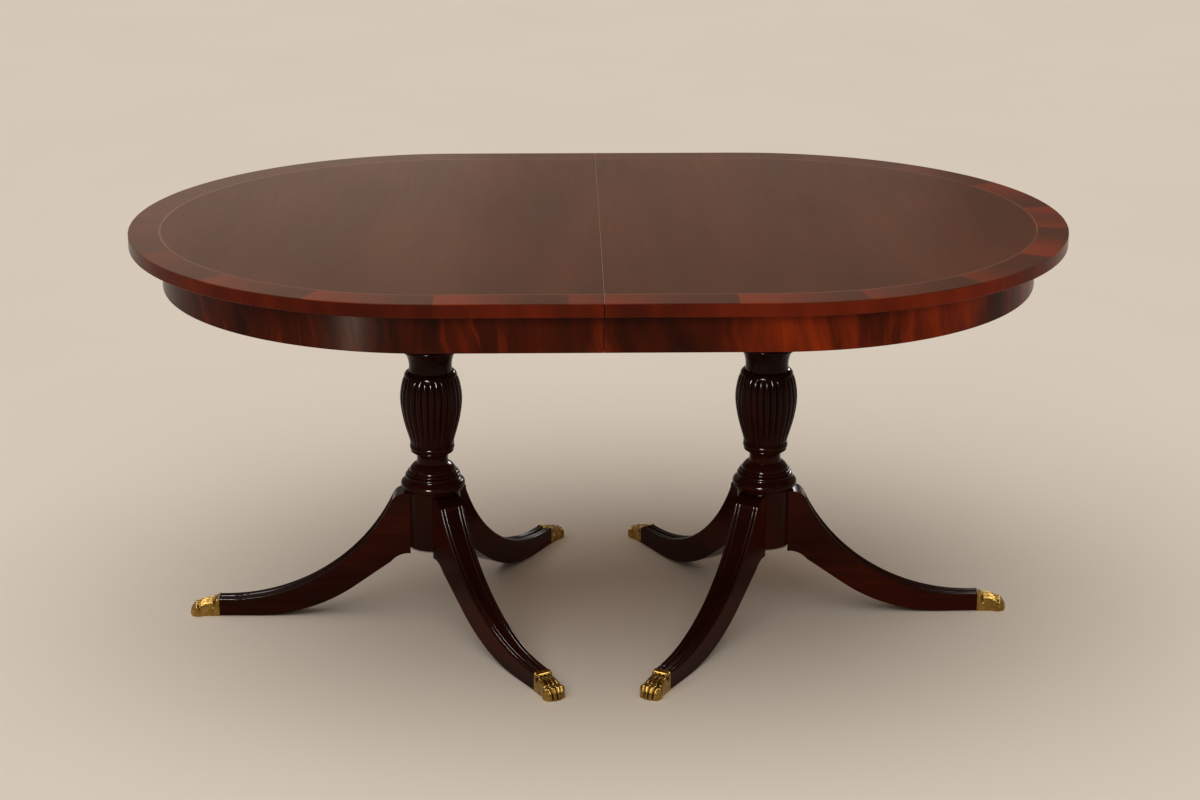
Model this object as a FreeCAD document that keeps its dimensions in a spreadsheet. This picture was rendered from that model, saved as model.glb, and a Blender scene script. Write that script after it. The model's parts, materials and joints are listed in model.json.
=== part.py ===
import FreeCAD, Part
import math
import os
import re

import Sketcher
from FreeCAD import Placement, Rotation, Vector

# Double pedestal dining table: racetrack top in two halves on extension slides,
# each half on a turned column with three saber legs and brass paw caps.
# Frame: origin on the floor under the middle of the top, +X along the top, -Y at the front.

doc = FreeCAD.newDocument("double_pedestal_table")
sheet = doc.addObject("Spreadsheet::Sheet", "Sizes")

# Driving dimensions in millimetres, degrees for angles, plain numbers for counts
sizes = {
    # Whole table
    "table_length": 1676.4,
    "table_width": 1117.6,
    "table_height": 762,
    "seam_gap": 0.3,
    "leaf_opening": 914.4,
    # Fits shared by all pieces
    "running_clearance": 0.3,
    "fixed_clearance": 0.1,
    "overrun": 5,
    # Top of each half
    "core_thickness": 22.5,
    "veneer_thickness": 1.5,
    "lipping_width": 6,
    "crossband_width": 54,
    "string_width": 3,
    "arris_radius": 1,
    "lower_arris_radius": 2,
    # Apron and its glue blocks
    "apron_inset": 56,
    "apron_height": 75,
    "apron_thickness": 20,
    "apron_edge_radius": 1.5,
    "block_length": 50,
    "block_depth": 18,
    "block_height": 36,
    # Bearer under each half
    "bearer_length": 300,
    "bearer_width": 170,
    "bearer_thickness": 32,
    "bearer_chamfer": 10,
    "bearer_screw_inset": 28,
    # Wood screws
    "screw_radius": 2.2,
    "screw_head_radius": 4.2,
    "screw_head_height": 2.4,
    "screw_point": 4,
    "screw_bite": 14,
    # Extension slides
    "slide_lap": 200,
    "slide_end_gap": 20,
    "slide_width": 22,
    "slide_height": 46,
    "slide_gap": 1,
    "slide_drop": 1.2,
    "tongue_height": 10,
    "tongue_depth": 7,
    "slide_screw_inset": 60,
    "stop_radius": 3,
    "stop_inset": 20,
    "stop_rise": 9,
    "stop_bite": 9,
    "stop_reach": 6,
    # Alignment pins across the seam
    "pin_radius": 4,
    "pin_bite": 20,
    "pin_reach": 14,
    "pin_tip": 1.5,
    # Table locks
    "lock_setback": 8,
    "lock_plate_length": 56,
    "lock_plate_width": 26,
    "lock_plate_thickness": 2.5,
    "lock_screw_inset": 8,
    "lock_pivot_radius": 4,
    "lock_head_radius": 8,
    "lock_head_height": 2,
    "keeper_length": 28,
    "keeper_width": 44,
    "stud_radius": 4,
    "lever_width": 17,
    "lever_thickness": 3,
    "lever_nose": 11,
    "lever_hub_radius": 11,
    "knob_radius": 5,
    "knob_height": 12,
    # Column
    "pedestal_offset": 309,
    "hub_rise": 139,
    "hub_radius": 50,
    "hub_height": 111,
    "hub_chamfer": 2.5,
    "base_radius": 59.8,
    "base_height": 57.5,
    "collar_radius": 41.5,
    "collar_height": 31.5,
    "vase_radius": 57,
    "vase_height": 140,
    "reed_count": 27,
    "capital_radius": 51.5,
    "capital_height": 60,
    "shaft_radius": 43.5,
    "tenon_radius": 24,
    "tenon_cover": 6,
    # Legs, measured out from the column's axis
    "leg_root_width": 50,
    "leg_toe_width": 32,
    "leg_reach": 407,
    "leg_toe_run": 17,
    "leg_toe_height": 34.5,
    "leg_crest_height": 234,
    "leg_head_length": 25.5,
    "leg_head_gap": 3,
    "leg_floor_gap": 1.5,
    "leg_sole_run": 67,
    "leg_bend_reach": 150,
    "leg_bend_height": 62,
    "leg_turn_length": 30,
    "leg_turn_height": 112,
    "leg_root_drop": 11,
    "bead_radius": 2.9,
    "bead_margin": 0.6,
    "bead_pitch": 6.6,
    "dovetail_mouth": 16,
    "dovetail_back": 22,
    "dovetail_depth": 22,
    "dovetail_cover": 15,
    # Plate that closes the dovetails
    "leg_plate_inset": 4,
    "leg_plate_thickness": 3,
    "leg_plate_screw_radius": 32,
    # Paw caps
    "paw_length": 57,
    "paw_lip": 1.5,
    "paw_lap": 0.75,
    "paw_flare": 3.8,
    "paw_wall": 2.2,
    "paw_socket_depth": 21,
    "spigot_drop": 7.5,
    "paw_groove_radius": 1.6,
    "paw_band_length": 6,
    "paw_band_height": 0.8,
    "pearl_radius": 3,
    "nail_radius": 1.2,
    "nail_head_radius": 2.6,
    "nail_head_height": 1.3,
    "nail_bite": 9,
}

# Profile of the ringed base: shares of base_radius and base_height, upward from the hub.
# Each row is an end point, with a point on the way where the stretch is an arc.
base_shares = [
    (0.905, 0.0),
    (0.925, 0.06),
    (0.925, 0.32, 1.0, 0.19),
    (0.862, 0.37),
    (0.82, 0.42, 0.835, 0.385),
    (0.815, 0.52, 0.858, 0.47),
    (0.77, 0.525),
    (0.765, 0.61, 0.803, 0.568),
    (0.712, 0.7, 0.729, 0.643),
    (0.50, 0.9, 0.625, 0.815),
    (0.483, 1.0),
]
# Collar under the vase: shares of collar_radius and collar_height, upward from the base
collar_shares = [
    (0.89, 0.5, 0.735, 0.3),
    (0.92, 0.5),
    (0.92, 0.63, 0.955, 0.565),
    (0.94, 0.65),
    (0.96, 0.93, 1.0, 0.79),
    (0.985, 1.0),
]
# Shoulder, neck and ring over the vase: shares of capital_radius and capital_height
capital_shares = [
    (0.95, 0.0),
    (0.78, 0.15, 0.892, 0.1),
    (0.84, 0.63, 0.766, 0.34),
    (0.9, 0.73),
    (0.93, 0.74),
    (0.93, 0.92, 1.0, 0.83),
    (0.87, 1.0),
]
# Reeded vase: shares of vase_height, of vase_radius, and of the full reed depth
vase_shares = [
    (0.0, 0.696, 0.0),
    (0.1, 0.756, 0.55),
    (0.25, 0.863, 1.0),
    (0.4, 0.948, 1.0),
    (0.55, 0.998, 1.0),
    (0.7, 0.993, 1.0),
    (0.82, 0.945, 1.0),
    (0.9, 0.887, 0.8),
    (0.94, 0.835, 0.0),
]
# Depth of a reed as a share of its width, and the top of the reeds as a share of the vase
reed_depth_share = 0.33
reeds_top_share = 0.94
# Paw side view: shares of paw_length and paw_height, from the rear of the sole over the toes
paw_side_shares = [
    (0.93, 0.0),
    (1.0, 0.2, 0.985, 0.06),
    (0.95, 0.41, 0.993, 0.315),
    (0.62, 0.68, 0.8, 0.565),
    (0.12, 0.93, 0.36, 0.82),
    (0.0, 1.0),
]
# Places across the paw of the grooves between the toes, and of the pearls, in shares of its width
paw_groove_shares = [-0.25, 0.0, 0.25]
paw_pearl_shares = [-0.36, -0.12, 0.12, 0.36]
# Paw seen from above and its small features, in shares of its length, width and height
paw_swell_share = 0.45
paw_knuckle_share = 0.72
paw_round_share = 0.9
paw_front_share = 0.86
paw_tip_share = 1.05
paw_pearl_place_share = 0.17
paw_pearl_level_share = 0.88
paw_nail_place_share = 0.2
paw_nail_height_share = 0.4
paw_groove_start_share = 0.22
paw_groove_level_share = 0.91
paw_groove_fall_share = 0.5
paw_groove_run_share = 0.77
# Places across the table of the alignment pins and the slides, and of the screws along a slide
pin_place_shares = [-0.4, -0.12, 0.12, 0.4]
slide_place_share = 0.17
slide_screw_shares = [0.0, 0.5, 1.0]
# Places of the glue blocks: along the straight rail, and round a quarter bend
rail_block_share = 0.5
bend_block_shares = [0.22, 0.55, 0.88]
knob_place_share = 0.45
# Swell of the leg's rounded head and root, in shares of their runs
leg_swell_share = 0.13
# Most that the arris may take of the veneer
arris_limit_share = 0.9
# Angle that a lever's slot opens through
lever_slot_angle = 45

# Heights and places that several pieces share
seam = "seam_gap / 2"
end_centre = "(table_length - table_width) / 2"
top_underside = "(table_height - veneer_thickness - core_thickness)"
apron_radius = "(table_width / 2 - apron_inset)"
base_level = "(hub_rise + hub_height)"
collar_level = "(hub_rise + hub_height + base_height)"
vase_level = "(hub_rise + hub_height + base_height + collar_height)"
capital_level = f"({vase_level} + vase_height * {reeds_top_share})"
bearer_level = f"({top_underside} - bearer_thickness)"
slide_level = f"({top_underside} - slide_height)"
lock_level = f"({top_underside} - lock_plate_thickness)"
lever_level = f"({lock_level} - running_clearance - lever_thickness)"
lock_pivot = "(lock_setback + lock_plate_length / 2)"
stud_place = "(lock_setback + keeper_length / 2)"
lever_throw = f"({lock_pivot} + {stud_place})"
apron_inner = f"({apron_radius} - apron_thickness)"
slide_offset = f"(table_width * {slide_place_share})"
slides_edge = f"({slide_offset} + slide_width * 3 / 2 + slide_gap)"
slides_chord = f"sqrt({apron_inner} * {apron_inner} - {slides_edge} * {slides_edge})"
slide_reach = f"({end_centre} + {slides_chord} - slide_end_gap)"
slide_length = f"(slide_lap + {slide_reach})"
lock_offset = f"(({slides_edge} + {apron_inner}) / 2)"
tenon_length = "(bearer_thickness - tenon_cover)"
leg_level_from = "(leg_reach - leg_toe_run)"
leg_sole_from = "(leg_reach - leg_sole_run)"
leg_head_reach = "(hub_radius + leg_head_length)"
leg_head_height = f"({base_level} - leg_head_gap)"
leg_turn_reach = "(hub_radius + leg_turn_length)"
leg_root_height = "(hub_rise - leg_root_drop)"
leg_surface = "(leg_toe_height - bead_radius)"
leg_run = f"({leg_level_from} - {leg_head_reach})"
leg_climb = "(leg_crest_height - leg_toe_height)"
leg_arc_radius = f"(({leg_run} * {leg_run} + {leg_climb} * {leg_climb}) / (2 * {leg_climb}))"
leg_arc_level = f"(leg_toe_height + {leg_arc_radius})"
leg_inset_rate = "((leg_root_width - leg_toe_width) / 2 / (leg_reach - hub_radius))"
dovetail_height = "(hub_height - dovetail_cover)"
paw_height = "(leg_toe_height + paw_lip)"
paw_rear_width = "(leg_toe_width + 2 * paw_lap)"
paw_toe_width = "(leg_toe_width + 2 * paw_lap + 2 * paw_flare)"
spigot_width = "(leg_toe_width + 2 * paw_lap - 2 * paw_wall)"
spigot_height = f"({leg_surface} - leg_floor_gap - 2 * paw_wall - spigot_drop)"
half_turn = {"left": 180, "right": 0}


def fill_sheet():
    """Put every driving dimension in a cell with its name as alias."""
    for row, (name, value) in enumerate(sizes.items(), start=1):
        sheet.set(f"A{row}", name)
        sheet.set(f"B{row}", str(value))
        sheet.setAlias(f"B{row}", name)
    doc.recompute()


def formula(text):
    """Text of a formula with each size read from the sheet."""
    return re.sub(r"[a-z_]+", lambda word: "Sizes." + word[0] if word[0] in sizes else word[0], text)


def value(text):
    """Present value of a formula."""
    return float(sheet.evalExpression(formula(text)))


def bind(piece, **settings):
    """Bind properties of a piece to formulas; x, y and z stand for its place."""
    for name, text in settings.items():
        target = f"Placement.Base.{name}" if name in "xyz" else name
        piece.setExpression(target, formula(text))


def solid(kind, name, turn=None, **settings):
    """A primitive solid with its sizes and place bound to the sheet."""
    piece = doc.addObject(f"Part::{kind}", name)
    if turn is not None:
        piece.Placement = Placement(Vector(), turn)
    bind(piece, **settings)
    return piece


def joined(kind, name, pieces):
    """Several solids fused together, or met in common."""
    result = doc.addObject(f"Part::{kind}", name)
    result.Shapes = pieces
    return result


def group(name, pieces):
    """Separate solids kept together."""
    result = doc.addObject("Part::Compound", name)
    result.Links = pieces
    return result


def cut(name, base, tools):
    """A solid with one or more tools taken out of it."""
    result = doc.addObject("Part::Cut", name)
    result.Base = base
    result.Tool = tools[0] if len(tools) == 1 else joined("MultiFuse", name + "_tools", tools)
    return result


def placed(name, piece, angle=0, **place):
    """A copy of a piece, turned about the upright axis and moved to its place."""
    copy = group(name, [piece])
    copy.Placement = Placement(Vector(), Rotation(Vector(0, 0, 1), angle))
    bind(copy, **place)
    return copy


def origin_feature(body, role):
    return [item for item in body.Origin.OriginFeatures if item.Role == role][0]


def fix_point(sketch, item, end, place):
    """Fix one point of a sketch at a place given by two formulas."""
    for direction, text in zip(("DistanceX", "DistanceY"), place):
        index = sketch.addConstraint(Sketcher.Constraint(direction, -1, 1, item, end, value(text)))
        sketch.setExpression(f"Constraints[{index}]", formula(text))


def outline(body, plane, rows):
    """Closed sketch of lines and arcs. A row is a point, with a point on the way for an arc."""
    sketch = body.newObject("Sketcher::SketchObject", body.Name + "_outline")
    sketch.AttachmentSupport = (origin_feature(body, plane), [""])
    sketch.MapMode = "FlatFace"
    corners = [Vector(value(row[0]), value(row[1]), 0) for row in rows]
    ends = []
    for index, row in enumerate(rows):
        start, stop = corners[index - 1], corners[index]
        if len(row) == 2:
            item = sketch.addGeometry(Part.LineSegment(start, stop))
            ends.append((item, 1, 2))
        else:
            way = Vector(value(row[2]), value(row[3]), 0)
            forward = (way - start).cross(stop - way).z > 0
            item = sketch.addGeometry(Part.Arc(start, way, stop) if forward else Part.Arc(stop, way, start))
            ends.append((item, 1, 2) if forward else (item, 2, 1))
            point = sketch.addGeometry(Part.Point(way), True)
            sketch.addConstraint(Sketcher.Constraint("PointOnObject", point, 1, item))
            fix_point(sketch, point, 1, row[2:])
    for index, (item, first, last) in enumerate(ends):
        following = ends[(index + 1) % len(ends)]
        sketch.addConstraint(Sketcher.Constraint("Coincident", item, last, following[0], following[1]))
        fix_point(sketch, item, last, rows[index][:2])
    return sketch


def plate(name, rows, thickness, plane="XY_Plane", both_sides=False, reverse=False, **place):
    """Body padded from an outline."""
    body = doc.addObject("PartDesign::Body", name)
    pad = body.newObject("PartDesign::Pad", name + "_pad")
    pad.Profile = outline(body, plane, rows)
    pad.SideType = "Symmetric" if both_sides else "One side"
    pad.Reversed = reverse
    bind(pad, Length=thickness)
    bind(body, **place)
    return body


def turned(name, rows, **place):
    """Body turned about the upright axis from an outline of radius and height."""
    body = doc.addObject("PartDesign::Body", name)
    lathe = body.newObject("PartDesign::Revolution", name + "_turning")
    lathe.Profile = outline(body, "XZ_Plane", rows)
    lathe.ReferenceAxis = (origin_feature(body, "Z_Axis"), [""])
    bind(body, **place)
    return body


def dress(body, kind, wanted, size_property, size):
    """Round or chamfer the edges of a body that a test picks."""
    doc.recompute()
    base = body.Tip
    edges = [f"Edge{index}" for index, edge in enumerate(base.Shape.Edges, start=1) if wanted(edge)]
    dressing = body.newObject(f"PartDesign::{kind}", f"{body.Name}_{kind.lower()}")
    dressing.Base = (base, edges)
    bind(dressing, **{size_property: size})
    return dressing


def at_height(edge, height):
    """Whether a whole edge lies at one height."""
    box = edge.BoundBox
    return box.ZLength < value("fixed_clearance") and abs(box.ZMin - height) < value("fixed_clearance")


def on_rim(edge, inset):
    """Whether an edge follows the rim of a half, a given inset from the table's edge."""
    middle = edge.valueAt((edge.FirstParameter + edge.LastParameter) / 2)
    outward = Vector(max(middle.x - value(end_centre), 0), middle.y, 0).Length
    return abs(outward - value(f"table_width / 2 - {inset}")) < value("fixed_clearance")


# Top of one half, laid out with +X running outward from the seam
def half_outline(inset):
    """Half of the racetrack, a given inset from the table's edge."""
    reach = f"(table_width / 2 - {inset})"
    return [
        (seam, f"-{reach}"),
        (end_centre, f"-{reach}"),
        (end_centre, reach, f"{end_centre} + {reach}", "0"),
        (seam, reach),
    ]


def band_outline(inset, width):
    """Band that follows the rim of a half, open at the seam."""
    inner = half_outline(f"({inset} + {width})")
    inner_back = [inner[3], inner[2][:2], inner[1] + inner[2][2:], inner[0]]
    return half_outline(inset) + inner_back


def field_veneer():
    return plate("field_veneer", half_outline("(crossband_width + string_width)"), "veneer_thickness",
                 z="table_height - veneer_thickness")


def string_inlay():
    return plate("string_inlay", band_outline("crossband_width", "string_width"), "veneer_thickness",
                 z="table_height - veneer_thickness")


def crossband():
    body = plate("crossband", band_outline("0", "crossband_width"), "veneer_thickness",
                 z="table_height - veneer_thickness")
    dress(body, "Fillet", lambda edge: at_height(edge, value("veneer_thickness")) and on_rim(edge, "0"),
          "Radius", f"min(arris_radius; veneer_thickness * {arris_limit_share})")
    return body


def edge_lipping():
    body = plate("edge_lipping", band_outline("0", "lipping_width"), "core_thickness", z=top_underside)
    dress(body, "Fillet", lambda edge: at_height(edge, 0) and on_rim(edge, "0"),
          "Radius", "lower_arris_radius")
    return body


def core_panel(side, screw_sockets):
    """Core of one half, with bores for the alignment pins and pilot holes for its screws."""
    blank = plate(f"{side}_core_blank", half_outline("lipping_width"), "core_thickness", z=top_underside)
    fit = "fixed_clearance" if side == "left" else "running_clearance"
    depth = "pin_bite" if side == "left" else "pin_reach"
    bores = []
    for index, share in enumerate(pin_place_shares):
        bores.append(solid("Cylinder", f"{side}_pin_bore_{index}", Rotation(Vector(0, 1, 0), 90),
                           Radius=f"pin_radius + {fit}", Height=f"{depth} + overrun", x=f"{seam} - overrun",
                           y=f"table_width * {share}", z=f"{top_underside} + core_thickness / 2"))
    return cut(f"{side}_core", blank, bores + screw_sockets)


# Apron of one half: a straight rail and a quarter bend on each side
def apron_rail(name, sign):
    outer, inner = f"{sign} * {apron_radius}", f"{sign} * {apron_inner}"
    rows = [(seam, inner), (end_centre, inner), (end_centre, outer), (seam, outer)]
    body = plate(name, rows, "apron_height", z=f"{top_underside} - apron_height")
    dress(body, "Fillet", lambda edge: at_height(edge, 0) and on_rim(edge, "apron_inset"),
          "Radius", "apron_edge_radius")
    return body


def apron_bend(name, sign):
    slant = math.sqrt(0.5)
    rows = [
        (end_centre, f"{sign} * {apron_radius}"),
        (f"{end_centre} + {apron_radius}", "0",
         f"{end_centre} + {apron_radius} * {slant}", f"{sign} * {apron_radius} * {slant}"),
        (f"{end_centre} + {apron_inner}", "0"),
        (end_centre, f"{sign} * {apron_inner}",
         f"{end_centre} + {apron_inner} * {slant}", f"{sign} * {apron_inner} * {slant}"),
    ]
    body = plate(name, rows, "apron_height", z=f"{top_underside} - apron_height")
    dress(body, "Fillet", lambda edge: at_height(edge, 0) and on_rim(edge, "apron_inset"),
          "Radius", "apron_edge_radius")
    return body


def glue_blocks():
    """Blocks in the corner between the apron and the underside of the top."""
    inner = f"({apron_inner} - fixed_clearance)"
    chord = f"(sqrt({inner} * {inner} - block_length * block_length / 4) - block_depth)"
    level = f"{top_underside} - block_height"
    blocks = []
    for sign in (-1, 1):
        block = solid("Box", f"rail_block_{sign + 1}", Length="block_length", Width="block_depth",
                      Height="block_height", z=level)
        edge = f"{inner} - block_depth" if sign > 0 else f"-{inner}"
        bind(block, x=f"{end_centre} * {rail_block_share} - block_length / 2", y=edge)
        blocks.append(block)
        for index, share in enumerate(bend_block_shares):
            angle = sign * 90 * share
            block = solid("Box", f"bend_block_{sign + 1}_{index}", Rotation(Vector(0, 0, 1), angle),
                          Length="block_depth", Width="block_length", Height="block_height", z=level)
            bind(block, x=f"{end_centre} + {chord} * cos({angle}) + block_length / 2 * sin({angle})",
                 y=f"{chord} * sin({angle}) - block_length / 2 * cos({angle})")
            blocks.append(block)
    return group("glue_blocks", blocks)


# Wood screws, head down at the origin and point up
def wood_screw(name, passes, extra="0"):
    """Countersunk screw through a thickness and into the wood, or its hole when grown by a fit."""
    length = f"({passes} + screw_bite + {extra})"
    rows = [
        ("0", f"-{extra}"),
        (f"screw_head_radius + {extra}", f"-{extra}"),
        (f"screw_radius + {extra}", "screw_head_height"),
        (f"screw_radius + {extra}", f"{length} - screw_point"),
        ("0", length),
    ]
    return turned(name, rows)


def screw_set(name, passes, places, level):
    """Screws at a list of places, with the holes that take them."""
    screw = wood_screw(name, passes)
    hole = wood_screw(name + "_hole", passes, "fixed_clearance")
    screws, holes = [], []
    for index, (x, y) in enumerate(places):
        screws.append(placed(f"{name}_{index}", screw, x=x, y=y, z=level))
        holes.append(placed(f"{name}_hole_{index}", hole, x=x, y=y, z=level))
    return screws, holes


# Bearer under one half
def bearer(holes):
    rows = []
    for across, along in ((-1, -1), (1, -1), (1, 1), (-1, 1)):
        rows.append((f"pedestal_offset + {across} * bearer_length / 2", f"{along} * bearer_width / 2"))
    body = plate("bearer_blank", rows, "bearer_thickness", z=bearer_level)
    dress(body, "Chamfer", lambda edge: at_height(edge, 0), "Size", "bearer_chamfer")
    mortise = solid("Cylinder", "bearer_mortise", Radius="tenon_radius + fixed_clearance",
                    Height=f"{tenon_length} + fixed_clearance + overrun", x="pedestal_offset",
                    z=f"{bearer_level} - overrun")
    return cut("bearer", body, [mortise] + holes)


def bearer_places():
    reach, spread = "(bearer_length / 2 - bearer_screw_inset)", "(bearer_width / 2 - bearer_screw_inset)"
    return [(f"pedestal_offset + {a} * {reach}", f"{b} * {spread}") for a in (-1, 1) for b in (-1, 1)]


# Extension slides: the member fixed to a half has its groove towards the middle runner
def slide_pitch(sign):
    """Middle of a fixed member, which lies beside the middle runner."""
    return f"({sign} * {slide_offset} + slide_width + slide_gap)"


def slide_places(sign):
    first = f"({seam} + slide_screw_inset)"
    run = f"({slide_reach} - 2 * slide_screw_inset)"
    return [(f"{first} + {run} * {share}", slide_pitch(sign)) for share in slide_screw_shares]


def slide_member(name, sign, holes):
    groove = "(tongue_height / 2 + running_clearance)"
    deep = "(tongue_depth + running_clearance - slide_width / 2)"
    middle = f"({slide_level} + slide_height / 2)"
    rows = [
        ("-slide_width / 2", slide_level),
        ("slide_width / 2", slide_level),
        ("slide_width / 2", top_underside),
        ("-slide_width / 2", top_underside),
        ("-slide_width / 2", f"{middle} + {groove}"),
        (deep, f"{middle} + {groove}"),
        (deep, f"{middle} - {groove}"),
        ("-slide_width / 2", f"{middle} - {groove}"),
    ]
    bar = plate(name + "_bar", rows, slide_length, plane="YZ_Plane", x="-slide_lap", y=slide_pitch(sign))
    step = solid("Box", name + "_step", Length="slide_lap + overrun", Width="slide_width + 2 * overrun",
                 Height="slide_drop + overrun", x=f"-slide_lap - overrun + {seam}",
                 y=f"{slide_pitch(sign)} - slide_width / 2 - overrun", z=f"{top_underside} - slide_drop")
    socket = stop_pin(name + "_socket", sign, "fixed_clearance")
    return cut(name, bar, [step, socket] + holes)


def stop_pin(name, sign, extra="0"):
    """Pin in a fixed member that runs in the middle runner's slot, or its hole when grown by a fit."""
    return solid("Cylinder", name, Rotation(Vector(1, 0, 0), -90), Radius=f"stop_radius + {extra}",
                 Height=f"stop_reach + stop_bite + {extra}", x="stop_inset - slide_lap",
                 y=f"{slide_pitch(sign)} - slide_width / 2 - stop_reach", z=f"{slide_level} + stop_rise")


def middle_runner(name, sign):
    """Runner with a tongue on each side and a slot for each stop pin."""
    half, tongue = "slide_width / 2", "(slide_width / 2 + slide_gap + tongue_depth)"
    middle, rise = f"({slide_level} + slide_height / 2)", "tongue_height / 2"
    top = f"{top_underside} - slide_drop"
    rows = [
        (f"-{half}", slide_level),
        (half, slide_level),
        (half, f"{middle} - {rise}"),
        (tongue, f"{middle} - {rise}"),
        (tongue, f"{middle} + {rise}"),
        (half, f"{middle} + {rise}"),
        (half, top),
        (f"-{half}", top),
        (f"-{half}", f"{middle} + {rise}"),
        (f"-{tongue}", f"{middle} + {rise}"),
        (f"-{tongue}", f"{middle} - {rise}"),
        (f"-{half}", f"{middle} - {rise}"),
    ]
    bar = plate(name + "_bar", rows, slide_length, plane="YZ_Plane", x=f"-{slide_length} / 2",
                y=f"{sign} * {slide_offset}")
    room = "(stop_radius + running_clearance)"
    run = f"(leaf_opening / 2 + 2 * {room})"
    depth = "(stop_reach - slide_gap + running_clearance)"
    near = f"(stop_inset - slide_lap - {room})"
    slots = []
    for face in (-1, 1):
        start = near if face > 0 else f"-{near} - {run}"
        edge = f"{half} - {depth}" if face > 0 else f"-{half} - overrun"
        slots.append(solid("Box", f"{name}_slot_{face + 1}", Length=run, Width=f"{depth} + overrun",
                           Height=f"2 * {room}", x=start, y=f"{sign} * {slide_offset} + {edge}",
                           z=f"{slide_level} + stop_rise - {room}"))
    return cut(name, bar, slots)


# Alignment pins, fixed in the left half
def alignment_pins():
    rows = [
        ("0", "0"),
        ("pin_radius", "0"),
        ("pin_radius", "pin_bite + pin_reach - pin_tip - seam_gap"),
        ("pin_radius - pin_tip", "pin_bite + pin_reach - seam_gap"),
        ("0", "pin_bite + pin_reach - seam_gap"),
    ]
    pin = turned("alignment_pin", rows)
    pins = []
    for index, share in enumerate(pin_place_shares):
        copy = group(f"alignment_pin_{index}", [pin])
        copy.Placement = Placement(Vector(), Rotation(Vector(0, 1, 0), 90))
        bind(copy, x=f"-{seam} - pin_bite", y=f"table_width * {share}",
             z=f"{top_underside} + core_thickness / 2")
        pins.append(copy)
    return group("alignment_pins", pins)


# Table locks, laid out in the table's frame: plates and levers left of the seam, keepers right
def lock_plate_places():
    near, far = "lock_setback + lock_screw_inset", "lock_setback + lock_plate_length - lock_screw_inset"
    return [(x, f"{sign} * {lock_offset}") for x in (near, far) for sign in (-1, 1)]


def keeper_places():
    spread = "(keeper_width / 2 - lock_screw_inset)"
    return [(stud_place, f"{sign} * {lock_offset} + {end} * {spread}") for sign in (-1, 1) for end in (-1, 1)]


def lock_plates(holes):
    """Pair of plates, each with a headed pivot for its lever."""
    pieces = []
    for sign in (-1, 1):
        base = solid("Box", f"lock_base_{sign + 1}", Length="lock_plate_length", Width="lock_plate_width",
                     Height="lock_plate_thickness", x="lock_setback",
                     y=f"{sign} * {lock_offset} - lock_plate_width / 2", z=lock_level)
        pivot = solid("Cylinder", f"lock_pivot_{sign + 1}", Radius="lock_pivot_radius",
                      Height="lever_thickness + 2 * running_clearance + lock_head_height", x=lock_pivot,
                      y=f"{sign} * {lock_offset}", z=f"{lever_level} - running_clearance - lock_head_height")
        head = solid("Cylinder", f"lock_head_{sign + 1}", Radius="lock_head_radius",
                     Height="lock_head_height", x=lock_pivot, y=f"{sign} * {lock_offset}",
                     z=f"{lever_level} - running_clearance - lock_head_height")
        pieces.append(joined("MultiFuse", f"lock_plate_{sign + 1}", [base, pivot, head]))
    return cut("lock_plates", group("lock_plate_blanks", pieces), holes)


def lock_keepers(holes):
    """Pair of keeper plates, each with the stud that a lever hooks."""
    pieces = []
    for sign in (-1, 1):
        base = solid("Box", f"keeper_base_{sign + 1}", Length="keeper_length", Width="keeper_width",
                     Height="lock_plate_thickness", x="lock_setback",
                     y=f"{sign} * {lock_offset} - keeper_width / 2", z=lock_level)
        stud = solid("Cylinder", f"keeper_stud_{sign + 1}", Radius="stud_radius",
                     Height="lever_thickness + 2 * running_clearance", x=stud_place,
                     y=f"{sign} * {lock_offset}", z=f"{lever_level} - running_clearance")
        pieces.append(joined("MultiFuse", f"keeper_{sign + 1}", [base, stud]))
    return cut("lock_keepers", group("keeper_blanks", pieces), holes)


def lock_lever():
    """Lever along +X from its pivot, with a slot that swings round the stud from the +Y side."""
    room = "(stud_radius + 2 * running_clearance)"
    hub = solid("Cylinder", "lever_hub", Radius="lever_hub_radius", Height="lever_thickness")
    arm = solid("Box", "lever_arm", Length=f"{lever_throw} + lever_nose", Width="lever_width",
                Height="lever_thickness", y="-lever_width / 2")
    knob = solid("Cylinder", "lever_knob", Radius="knob_radius", Height="knob_height",
                 x=f"{lever_throw} * {knob_place_share}", z="-knob_height")
    bore = solid("Cylinder", "lever_bore", Radius="lock_pivot_radius + running_clearance",
                 Height="lever_thickness + 2 * overrun", z="-overrun")
    seat = solid("Cylinder", "lever_seat", Radius=room, Height="lever_thickness + 2 * overrun",
                 x=lever_throw, z="-overrun")
    outer = solid("Cylinder", "lever_slot_outer", Radius=f"{lever_throw} + {room}",
                  Height="lever_thickness + 2 * overrun", Angle=str(lever_slot_angle), z="-overrun")
    inner = solid("Cylinder", "lever_slot_inner", Radius=f"{lever_throw} - {room}",
                  Height="lever_thickness + 4 * overrun", z="-2 * overrun")
    slot = cut("lever_slot", outer, [inner])
    return cut("lock_lever", joined("MultiFuse", "lever_blank", [hub, arm, knob]), [bore, seat, slot])


# Turned column, laid out round its own axis
def turning_rows(shares, radius, height, level):
    """Rows of a turned outline from shares of a radius and a height above a level."""
    rows = []
    for row in shares:
        texts = []
        for index, share in enumerate(row):
            texts.append(f"{radius} * {share}" if index % 2 == 0 else f"{level} + {height} * {share}")
        rows.append(tuple(texts))
    return rows


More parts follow.
